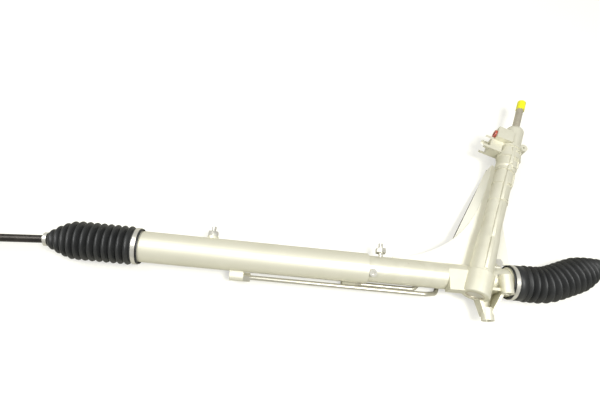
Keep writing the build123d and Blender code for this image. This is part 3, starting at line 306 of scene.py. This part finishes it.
finishes = {
    "castPaint": {
        "colour": (0.77, 0.75, 0.61), "shade": (0.67, 0.65, 0.51), "mark": (0.32, 0.29, 0.20),
        "metal": 0.36, "roughness": (0.38, 0.54), "grainScale": 1100, "patchScale": 30,
        "markScale": 90, "markAmount": 0.33, "bump": 0.55, "bumpDepth": 0.0005,
    },
    "tubePaint": {
        "colour": (0.76, 0.74, 0.60), "shade": (0.70, 0.68, 0.54), "mark": (0.36, 0.33, 0.24),
        "metal": 0.36, "roughness": (0.42, 0.54), "grainScale": 700, "patchScale": 14,
        "markScale": 60, "markAmount": 0.28, "bump": 0.16, "bumpDepth": 0.0003,
    },
    "platePaint": {
        "colour": (0.90, 0.885, 0.77), "shade": (0.85, 0.835, 0.71), "mark": (0.56, 0.52, 0.40),
        "metal": 0.15, "roughness": (0.30, 0.42), "grainScale": 800, "patchScale": 18,
        "markScale": 70, "markAmount": 0.27, "bump": 0.2, "bumpDepth": 0.0003,
    },
    "bootRubber": {
        "colour": (0.018, 0.019, 0.019), "shade": (0.030, 0.031, 0.030), "mark": (0.075, 0.073, 0.066),
        "metal": 0.0, "roughness": (0.38, 0.55), "grainScale": 1500, "patchScale": 40,
        "markScale": 55, "markAmount": 0.36, "bump": 0.25, "bumpDepth": 0.0003,
    },
    "zincPlate": {
        "colour": (0.76, 0.75, 0.68), "shade": (0.64, 0.62, 0.54), "mark": (0.34, 0.30, 0.22),
        "metal": 0.6, "roughness": (0.28, 0.42), "grainScale": 1600, "patchScale": 120,
        "markScale": 260, "markAmount": 0.34, "bump": 0.25, "bumpDepth": 0.0002,
    },
    "pipeZinc": {
        "colour": (0.64, 0.62, 0.52), "shade": (0.54, 0.52, 0.42), "mark": (0.36, 0.33, 0.25),
        "metal": 0.7, "roughness": (0.30, 0.42), "grainScale": 1200, "patchScale": 50,
        "markScale": 120, "markAmount": 0.30, "bump": 0.15, "bumpDepth": 0.0002,
    },
    "rodSteel": {
        "colour": (0.045, 0.042, 0.038), "shade": (0.085, 0.078, 0.068), "mark": (0.20, 0.15, 0.09),
        "metal": 0.8, "roughness": (0.34, 0.5), "grainScale": 1300, "patchScale": 60,
        "markScale": 150, "markAmount": 0.34, "bump": 0.3, "bumpDepth": 0.0002,
    },
    "bareSteel": {
        "colour": (0.56, 0.55, 0.52), "shade": (0.45, 0.44, 0.41), "mark": (0.28, 0.24, 0.18),
        "metal": 1.0, "roughness": (0.22, 0.34), "grainScale": 1800, "patchScale": 80,
        "markScale": 200, "markAmount": 0.30, "bump": 0.15, "bumpDepth": 0.0002,
    },
    "turnedShaft": {
        "colour": (0.62, 0.57, 0.45), "shade": (0.50, 0.46, 0.35), "mark": (0.24, 0.19, 0.13),
        "metal": 0.5, "roughness": (0.30, 0.42), "grainScale": 1700, "patchScale": 90,
        "markScale": 220, "markAmount": 0.36, "bump": 0.2, "bumpDepth": 0.0002,
        "rings": {"scale": 260, "heading": 71.5, "strength": 0.3, "depth": 0.0002},
    },
    "sealRubber": {
        "colour": (0.022, 0.022, 0.022), "shade": (0.03, 0.03, 0.03), "mark": (0.06, 0.06, 0.05),
        "metal": 0.0, "roughness": (0.45, 0.6), "grainScale": 1500, "patchScale": 80,
        "markScale": 150, "markAmount": 0.3, "bump": 0.2, "bumpDepth": 0.0002,
    },
    "bushBronze": {
        "colour": (0.50, 0.36, 0.17), "shade": (0.40, 0.28, 0.12), "mark": (0.25, 0.17, 0.08),
        "metal": 1.0, "roughness": (0.3, 0.42), "grainScale": 1500, "patchScale": 90,
        "markScale": 200, "markAmount": 0.32, "bump": 0.15, "bumpDepth": 0.0002,
    },
    "whitePlastic": {
        "colour": (0.72, 0.71, 0.65), "shade": (0.66, 0.64, 0.57), "mark": (0.45, 0.42, 0.35),
        "metal": 0.0, "roughness": (0.4, 0.52), "grainScale": 900, "patchScale": 60,
        "markScale": 160, "markAmount": 0.3, "bump": 0.12, "bumpDepth": 0.0002,
    },
    "yellowCap": {
        "colour": (0.90, 0.88, 0.02), "shade": (0.82, 0.76, 0.02), "mark": (0.62, 0.55, 0.04),
        "metal": 0.0, "roughness": (0.28, 0.38), "grainScale": 900, "patchScale": 90,
        "markScale": 300, "markAmount": 0.3, "bump": 0.1, "bumpDepth": 0.0002, "coat": 0.25,
    },
    "redPlug": {
        "colour": (0.52, 0.10, 0.06), "shade": (0.42, 0.06, 0.035), "mark": (0.25, 0.02, 0.012),
        "metal": 0.0, "roughness": (0.34, 0.45), "grainScale": 900, "patchScale": 90,
        "markScale": 300, "markAmount": 0.3, "bump": 0.1, "bumpDepth": 0.0002, "coat": 0.15,
    },
}
finish = {name: makeFinish(name, look) for name, look in finishes.items()}

nodeFinishes = {
    "castPaint": ["rack_housing", "valve_tower", "valve_head", "yoke_plug", "yoke_lock_nut"],
    "tubePaint": ["cylinder_tube"],
    "platePaint": ["gusset_plate"],
    "pipeZinc": ["pipe_short", "pipe_long", "pipe_nuts"],
    "zincPlate": ["plate_bolts", "locating_screw", "mounting_studs", "stud_nuts", "boot_clamps", "small_clamp_left",
                  "small_clamp_right", "end_plug"],
    "rodSteel": ["tie_rod_left", "tie_rod_right", "jam_nut_left", "jam_nut_right", "ball_joint_left",
                 "ball_joint_right"],
    "bareSteel": ["rack_bar", "pinion_shaft", "valve_sleeve", "torsion_bar", "torsion_pin", "piston", "retaining_ring",
                  "yoke_spring", "pinion_nut", "bearing_outer", "bearing_inner", "bearing_balls", "needle_bush",
                  "yoke", "cylinder_gland", "end_bush"],
    "turnedShaft": ["input_shaft", "circlip"],
    "sealRubber": ["input_seal", "bulkhead_seal", "gland_seal"],
    "bushBronze": ["input_bush", "rack_bush"],
    "whitePlastic": ["sleeve_rings", "piston_ring", "ball_seat_left", "ball_seat_right"],
    "yellowCap": ["shaft_cap"],
    "redPlug": ["port_plug"],
}
for finishName, nodes in nodeFinishes.items():
    for node in nodes:
        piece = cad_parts[node]
        piece.data.materials.clear()
        piece.data.materials.append(finish[finishName])
print("finishes made:", len(finish))


# Boots: rings extruded into folds, and cut in three where the joint inside them is

boots = {
    "left": {
        "ball": (-754, 30, -30), "heading": 180, "swing": 4, "bigEnd": -113, "smallEnd": 52,
        "blendFrom": -104, "cuts": (9, 11), "tieBlendTo": 46, "foldShape": 0.95,
        "folds": 12, "taperFolds": 4, "band": 0, "settled": 1,
    },
    "right": {
        "ball": (88, 30, -30), "heading": 0, "swing": 22, "bigEnd": -72, "smallEnd": 138,
        "blendFrom": -63, "cuts": (4, 9), "tieBlendTo": 118, "foldShape": 1.3,
        "folds": 14, "taperFolds": 5, "band": 12, "settled": 20,
    },
    "taperCurve": 1.5, "crest": 33.5, "root": 24.5, "smallCrest": 13.5, "smallRoot": 10.2,
    "cuff": 14, "cuffRadius": 30.5, "smallCuff": 8, "bend": 20, "ringsPerFold": 10, "sides": 64, "wall": 1.6,
    "firstRoot": 28.5, "smoothAngle": 80, "cutGap": 1, "tieBlendGap": 3,
    "cuffStart": [(0, -0.8), (0.7, 0), (2.4, 0), (3.0, -0.5)],  # offset from the big end, and radius past the cuff's
    "cuffEnd": [(-3.2, -0.5), (-2.6, 0), (-1.0, 0)],  # the same, from the cuff's inner end
    "bandStart": [(-0.4, 0.9), (0.8, 1.4)],
    "bandEnd": [(-0.6, 1.4)],
    "smallCuffStart": [(0, 0), (0.8, -0.5)],  # offset from the small cuff's inner end, and radius past its root
    "smallCuffEnd": [(-1.2, -0.5), (-0.6, -0.1), (0, -0.6)],
}


def bootPlace(side, distance):
    # the middle of the boot at a distance past the ball, and its heading there
    ball, heading, swing, bend = mm(*side["ball"]), side["heading"], side["swing"], boots["bend"]
    share = min(1.0, max(0.0, (distance + bend) / (2 * bend)))
    turned = heading + swing * share
    if share in (0.0, 1.0):
        return ball + directions(turned)[0] * distance * unit, math.radians(turned)
    full = math.radians(swing)
    radius = bend / math.tan(full / 2)
    along, aside = directions(heading)
    angle = full * share
    middle = along * (radius * math.sin(angle) - bend) + aside * radius * (1 - math.cos(angle))
    return ball + middle * unit, math.radians(turned)


def profile(name, place, radius):
    return [(place + offset, radius + extra) for offset, extra in boots[name]]


def bootRings(side):
    # distances and radii of the rings, from the big cuff to the small one
    first = side["bigEnd"] + boots["cuff"]
    last = side["smallEnd"] - boots["smallCuff"]
    start = first + side["band"]
    pitch = (last - start) / side["folds"]
    big, small = boots["cuffRadius"], boots["smallRoot"]
    rings = profile("cuffStart", side["bigEnd"], big) + profile("cuffEnd", first, big)
    if side["band"]:
        rings += profile("bandStart", first, big) + profile("bandEnd", start, big)
    for fold in range(side["folds"]):
        for step in range(boots["ringsPerFold"]):
            turn = step / boots["ringsPerFold"]
            place = fold + turn
            taper = max(0.0, place - (side["folds"] - side["taperFolds"])) / side["taperFolds"]
            taper = taper ** boots["taperCurve"]
            crest = boots["crest"] + (boots["smallCrest"] - boots["crest"]) * taper
            root = boots["root"] + (boots["smallRoot"] - boots["root"]) * taper
            if fold == 0 and turn < 0.5:
                root = boots["firstRoot"]
            lift = math.sin(math.pi * turn) ** side["foldShape"]
            rings.append((start + place * pitch, root + (crest - root) * lift))
    rings += profile("smallCuffStart", last, small) + profile("smallCuffEnd", side["smallEnd"], small)
    return rings, [start + pitch * cut for cut in side["cuts"]]


def extrudeBoot(name, side, rings):
    middle, turned = bootPlace(side, rings[0][0])
    bpy.ops.object.select_all(action="DESELECT")
    bpy.ops.mesh.primitive_circle_add(vertices=boots["sides"], radius=rings[0][1] * unit, location=middle,
                                      rotation=(0, math.pi / 2, turned))
    boot = bpy.context.object
    boot.name = "bellows_" + name
    bpy.ops.object.transform_apply(location=True, rotation=True, scale=True)
    bpy.ops.object.mode_set(mode="EDIT")
    bpy.ops.mesh.select_all(action="SELECT")
    previousMiddle, previousTurn, previousRadius = middle, turned, rings[0][1]
    for distance, radius in rings[1:]:  # each ring is the last one extruded, turned and resized
        middle, turned = bootPlace(side, distance)
        bpy.ops.mesh.extrude_edges_move(TRANSFORM_OT_translate={"value": middle - previousMiddle})
        if turned != previousTurn:
            bpy.ops.transform.rotate(value=previousTurn - turned, orient_axis="Z", center_override=middle)
        share = radius / previousRadius
        bpy.ops.transform.resize(value=(share, share, share), center_override=middle)
        previousMiddle, previousTurn, previousRadius = middle, turned, radius
    bpy.ops.mesh.select_all(action="SELECT")
    bpy.ops.mesh.normals_make_consistent(inside=False)
    bpy.ops.object.mode_set(mode="OBJECT")
    outward = boot.data.polygons[0].normal.dot(boot.data.polygons[0].center - bootPlace(side, rings[0][0])[0])
    if outward < 0:
        boot.data.flip_normals()
    addModifier(boot, "SOLIDIFY", thickness=boots["wall"] * unit, offset=-1)
    return boot


def splitBoot(boot, side, cut):
    # the part past a cut becomes a piece of its own
    middle, turned = bootPlace(side, cut)
    ahead = directions(math.degrees(turned))[0]
    startEdit(boot)
    endEdit()
    for face in boot.data.polygons:
        face.select = (face.center - middle).dot(ahead) > 0
    pick(boot)
    bpy.ops.object.mode_set(mode="EDIT")
    bpy.ops.mesh.separate(type="SELECTED")
    bpy.ops.object.mode_set(mode="OBJECT")
    return [o for o in bpy.context.selected_objects if o != boot][0]


def makeBoot(name, side, bodies):
    rings, cuts = bootRings(side)
    boot = extrudeBoot(name, side, rings)
    small = splitBoot(boot, side, cuts[1])
    middle = splitBoot(boot, side, cuts[0])
    spans = [
        (side["blendFrom"], cuts[0] - boots["cutGap"]),
        (cuts[0] + boots["cutGap"], cuts[1] - side["settled"]),
        (cuts[1] + boots["tieBlendGap"], side["tieBlendTo"]),
    ]
    for part, label, pair, span in zip((boot, middle, small), ("big", "middle", "small"), bodies, spans):
        part.name = "bellows_" + name + "_" + label
        settle(part, boots["smoothAngle"])
        dress(part, finish["bootRubber"])
        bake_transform(part)
    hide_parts("boot_" + name)


for name in ("left", "right"):
    seat, tie = "seat_" + name, "tie_" + name
    makeBoot(name, boots[name], (("housing", "rack"), ("rack", seat), (seat, tie)))
    print("boot made:", name)


# Cast detail on the tower: a raised rail along its top, a short one at its side, and bars across

tower = {
    "origin": (-42, 30, -12.5), "heading": 71.5, "roundSegments": 3, "roundAngle": 25,
    "rail": {"width": 7.5, "depth": 6, "proud": 2.6, "draft": 0.72, "bevel": 0.5},
    "railAngle": -3,
    "railStretches": [(10, 74, 20.4), (76, 156, 17.5), (156, 226, 18.4), (226, 241, 18.6), (241, 283, 20.6)],
    "bar": {"width": 11, "depth": 6, "proud": 2.4, "draft": 0.75, "bevel": 0.5},
    "barLength": 3.4,
    "bars": [(162, 26, 18.4), (198, 26, 18.5), (227, 27, 18.5), (237, 27, 19.0), (256, 26, 20.5), (277, 26, 20.6)],
    "edge": {"width": 3.2, "depth": 5, "proud": 2.0, "draft": 0.7, "bevel": 0.4},
    "edgeAngle": 50,
    "edgeStretches": [(196, 226, 18.5), (241, 259, 20.5), (274, 284, 20.5)],
}


def towerPlace(s, angle, radius):
    # a place on the tower, its angle from straight up towards the right, as a matrix that faces outwards
    along, left = directions(tower["heading"])
    turn = math.radians(angle)
    outward = Vector((0, 0, 1)) * math.cos(turn) - left * math.sin(turn)
    place = mm(*tower["origin"]) + along * s * unit + outward * radius * unit
    return facing(along, outward.cross(along), outward, place)


def makeCasting(name, length, look):
    # a raised bar with sloping sides and rounded edges, of which half or more is sunk in what it stands on
    width, depth = look["width"], look["depth"]
    bpy.ops.object.select_all(action="DESELECT")
    bpy.ops.mesh.primitive_cube_add(size=1, scale=mm(length, width, depth))
    piece = bpy.context.object
    piece.name = name
    bpy.ops.object.transform_apply(scale=True)
    startEdit(piece)
    bpy.ops.object.mode_set(mode="OBJECT")
    for face in piece.data.polygons:
        face.select = face.normal.z > 0.5
    bpy.ops.object.mode_set(mode="EDIT")
    slope = (1 - look["draft"]) * width
    bpy.ops.transform.resize(value=(1 - slope / length, look["draft"], 1), center_override=(0, 0, depth * unit / 2))
    endEdit()
    addModifier(piece, "BEVEL", width=look["bevel"] * unit, segments=tower["roundSegments"], limit_method="ANGLE",
                angle_limit=math.radians(tower["roundAngle"]))
    return piece


def placeCasting(piece, matrix, finishName="castPaint"):
    piece.matrix_world = matrix
    settle(piece)
    dress(piece, finish[finishName])
    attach(piece, "housing")


def addTowerCastings():
    for label in ("rail", "edge"):
        look = tower[label]
        for number, (start, end, radius) in enumerate(tower[label + "Stretches"], 1):
            piece = makeCasting("tower_" + label + "_" + str(number), end - start, look)
            height = radius + look["proud"] - look["depth"] / 2
            placeCasting(piece, towerPlace((start + end) / 2, tower[label + "Angle"], height))
    look = tower["bar"]
    bar = makeCasting("tower_bar_1", tower["barLength"], look)
    bars = [bar] + [copyPiece(bar, "tower_bar_" + str(number)) for number in range(2, len(tower["bars"]) + 1)]
    for piece, (s, angle, radius) in zip(bars, tower["bars"]):
        placeCasting(piece, towerPlace(s, angle, radius + look["proud"] - look["depth"] / 2))


addTowerCastings()
print("tower castings made")


# The plate's turned-down rim: from its hollow bend to a straight lower edge, along which a near-black strip is painted
# shade

rim = {
    "bend": [
        (-74.4, 106.1), (-59.5, 119.4), (-49.5, 130.5), (-39.7, 143.0), (-30.2, 156.7), (-24.2, 166.5),
        (-16.2, 180.6), (-10.6, 191.8), (-3.3, 207.6), (0.9, 217.3), (4.8, 227.3), (9.4, 240.8), (12.9, 251.4),
        (16.2, 262.3), (20.0, 275.0),
    ],
    "bendLevel": -37.6, "from": (-73, 108.5, -40), "to": (20, 278, -59.5), "sheet": 2.4,
    "edge": {"width": 1.8, "depth": 2.8, "draft": 0.8, "bevel": 0.4},
}


def addRim():
    columns = len(rim["bend"]) - 1
    bpy.ops.object.select_all(action="DESELECT")
    bpy.ops.mesh.primitive_grid_add(x_subdivisions=columns, y_subdivisions=1, size=1)
    sheet = bpy.context.object
    sheet.name = "plate_rim"
    start, end = mm(*rim["from"]), mm(*rim["to"])
    length, along = (end - start).length, (end - start).normalized()
    corners = [(round((v.co.x + 0.5) * columns), v.co.y > 0, v.co.copy()) for v in sheet.data.vertices]
    for number, (column, onBend, place) in enumerate(corners):
        bend = mm(*rim["bend"][column], rim["bendLevel"])
        share = min(1.0, max(0.0, (bend - start).dot(along) / length))
        target = bend if onBend else start.lerp(end, share)
        startEdit(sheet, "VERT")
        bpy.ops.object.mode_set(mode="OBJECT")
        sheet.data.vertices[number].select = True
        bpy.ops.object.mode_set(mode="EDIT")
        bpy.ops.transform.translate(value=target - place)
        endEdit()
    addModifier(sheet, "SOLIDIFY", thickness=rim["sheet"] * unit, offset=0)
    placeCasting(sheet, Matrix(), "platePaint")
    across = Vector((-along.y, along.x, 0)).normalized()
    # a thin bar in the rods' near-black finish along the rim's lower edge: painted shade for the gap beneath the rim
    edge = makeCasting("plate_rim_shadow_line", length / unit, rim["edge"])
    placeCasting(edge, facing(along, across, along.cross(across), (start + end) / 2), "rodSteel")


addRim()
print("plate rim made")


# Nuts on the two studs: hexagons with chamfered corners, in place of the plain ones

studNuts = {
    "feet": {"left": (-521, 30, -24), "right": (-218.5, 30, -24)},
    "from": 29.2, "to": 37.5, "flats": 17, "bore": 8.1, "chamfer": 1.3, "roundSides": 48,
    "bevel": 0.25, "bevelSegments": 2, "bevelAngle": 30, "smoothAngle": 25,
}


def cutNut(nut, operation, tool):
    addModifier(nut, "BOOLEAN", operation=operation, solver="EXACT", object=tool)
    bpy.data.objects.remove(tool)


def makeStudNut():
    height = studNuts["to"] - studNuts["from"]
    corner = studNuts["flats"] / 2 / math.cos(math.radians(30))
    tip = corner + height  # the cone that cuts the chamfers is as high as it is wide at its foot
    bpy.ops.object.select_all(action="DESELECT")
    bpy.ops.mesh.primitive_cylinder_add(vertices=6, radius=corner * unit, depth=height * unit)
    nut = bpy.context.object
    bpy.ops.mesh.primitive_cone_add(vertices=studNuts["roundSides"], radius1=tip * unit, radius2=0, depth=tip * unit)
    cone = bpy.context.object
    cone.location.z = (height / 2 - (corner - studNuts["chamfer"]) + tip / 2) * unit
    bpy.ops.object.transform_apply(location=True)
    cutNut(nut, "INTERSECT", cone)
    bpy.ops.mesh.primitive_cylinder_add(vertices=studNuts["roundSides"], radius=studNuts["bore"] * unit / 2,
                                        depth=2 * height * unit)
    cutNut(nut, "DIFFERENCE", bpy.context.object)
    addModifier(nut, "BEVEL", width=studNuts["bevel"] * unit, segments=studNuts["bevelSegments"],
                limit_method="ANGLE", angle_limit=math.radians(studNuts["bevelAngle"]))
    return nut


def placeStudNut(nut, name):
    x, y, z = studNuts["feet"][name]
    nut.name = "stud_nut_" + name
    nut.rotation_euler = (-math.pi / 2, 0, 0)
    nut.location = mm(x, y + (studNuts["from"] + studNuts["to"]) / 2, z)
    settle(nut, studNuts["smoothAngle"])
    dress(nut, finish["zincPlate"])
    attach(nut, "housing")


leftNut = makeStudNut()
rightNut = copyPiece(leftNut, "stud_nut_right")
placeStudNut(leftNut, "left")
placeStudNut(rightNut, "right")
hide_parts("stud_nuts")
print("stud nuts made")


# Floor, light and camera

studio = {
    "floorSize": 12.0, "floorColour": (0.50, 0.49, 0.42), "floorRoughness": 0.9, "floorGlow": 0.54,
    "glowColour": (1, 1, 0.99),
    "world": 0.22, "worldSeen": 1.0,
    "lamps": [
        {"name": "softKey", "place": (0.25, -0.38, 1.85), "aim": (-0.25, 0.05, 0), "size": 0.6, "power": 37},
        {"name": "softSide", "place": (-1.3, 0.30, 1.6), "aim": (-0.30, 0.05, 0), "size": 1.0, "power": 24},
    ],
}
camera = {
    "place": (-0.418006, -0.19245, 0.726932), "right": (0.99293235, 0.07301578, 0.093563),
    "up": (-0.10495386, 0.90826701, 0.40501325), "ahead": (0.05540782, 0.41197056, -0.90951099),
    "lens": 26.4, "sensor_width": 36, "clip_start": 0.01, "clip_end": 50,
}


def addFloor():
    bpy.ops.object.select_all(action="DESELECT")
    bpy.ops.mesh.primitive_plane_add(size=studio["floorSize"], location=(0, 0, cadLow.z))
    floor = bpy.context.object
    floor.name = "floor"
    material = bpy.data.materials.new("paleFloor")
    material.use_nodes = True
    tree = material.node_tree
    shader = tree.nodes["Principled BSDF"]
    shader.inputs["Base Color"].default_value = (*studio["floorColour"], 1)
    shader.inputs["Roughness"].default_value = studio["floorRoughness"]
    shader.inputs["Emission Color"].default_value = (*studio["glowColour"], 1)
    path = tree.nodes.new("ShaderNodeLightPath")
    glow = rangeOf(tree, path.outputs["Is Camera Ray"], 0, studio["floorGlow"])
    tree.links.new(glow, shader.inputs["Emission Strength"])
    floor.data.materials.append(material)


def addLamp(lamp):
    bpy.ops.object.light_add(type="AREA", location=lamp["place"])
    light = bpy.context.object
    light.name = lamp["name"]
    light.data.size = lamp["size"]
    light.data.energy = lamp["power"]
    towards = Vector(lamp["aim"]) - Vector(lamp["place"])
    light.rotation_euler = towards.to_track_quat("-Z", "Y").to_euler()


def addWorld():
    world = bpy.data.worlds.new("studio")
    bpy.context.scene.world = world
    world.use_nodes = True
    background = world.node_tree.nodes["Background"]
    background.inputs["Color"].default_value = (1, 1, 1, 1)
    path = world.node_tree.nodes.new("ShaderNodeLightPath")
    strength = rangeOf(world.node_tree, path.outputs["Is Camera Ray"], studio["world"], studio["worldSeen"])
    world.node_tree.links.new(strength, background.inputs["Strength"])


def addCamera():
    data = bpy.data.cameras.new("photoView")
    for name in ("lens", "sensor_width", "clip_start", "clip_end"):
        setattr(data, name, camera[name])
    data.sensor_fit = "HORIZONTAL"
    view = bpy.data.objects.new("photoView", data)
    bpy.context.scene.collection.objects.link(view)
    right, up, ahead = (Vector(camera[k]) for k in ("right", "up", "ahead"))
    view.matrix_world = facing(right, up, -ahead, Vector(camera["place"]))
    bpy.context.scene.camera = view


addFloor()
for lamp in studio["lamps"]:
    addLamp(lamp)
addWorld()
addCamera()
bpy.context.scene.view_settings.view_transform = "Standard"
print("studio set")
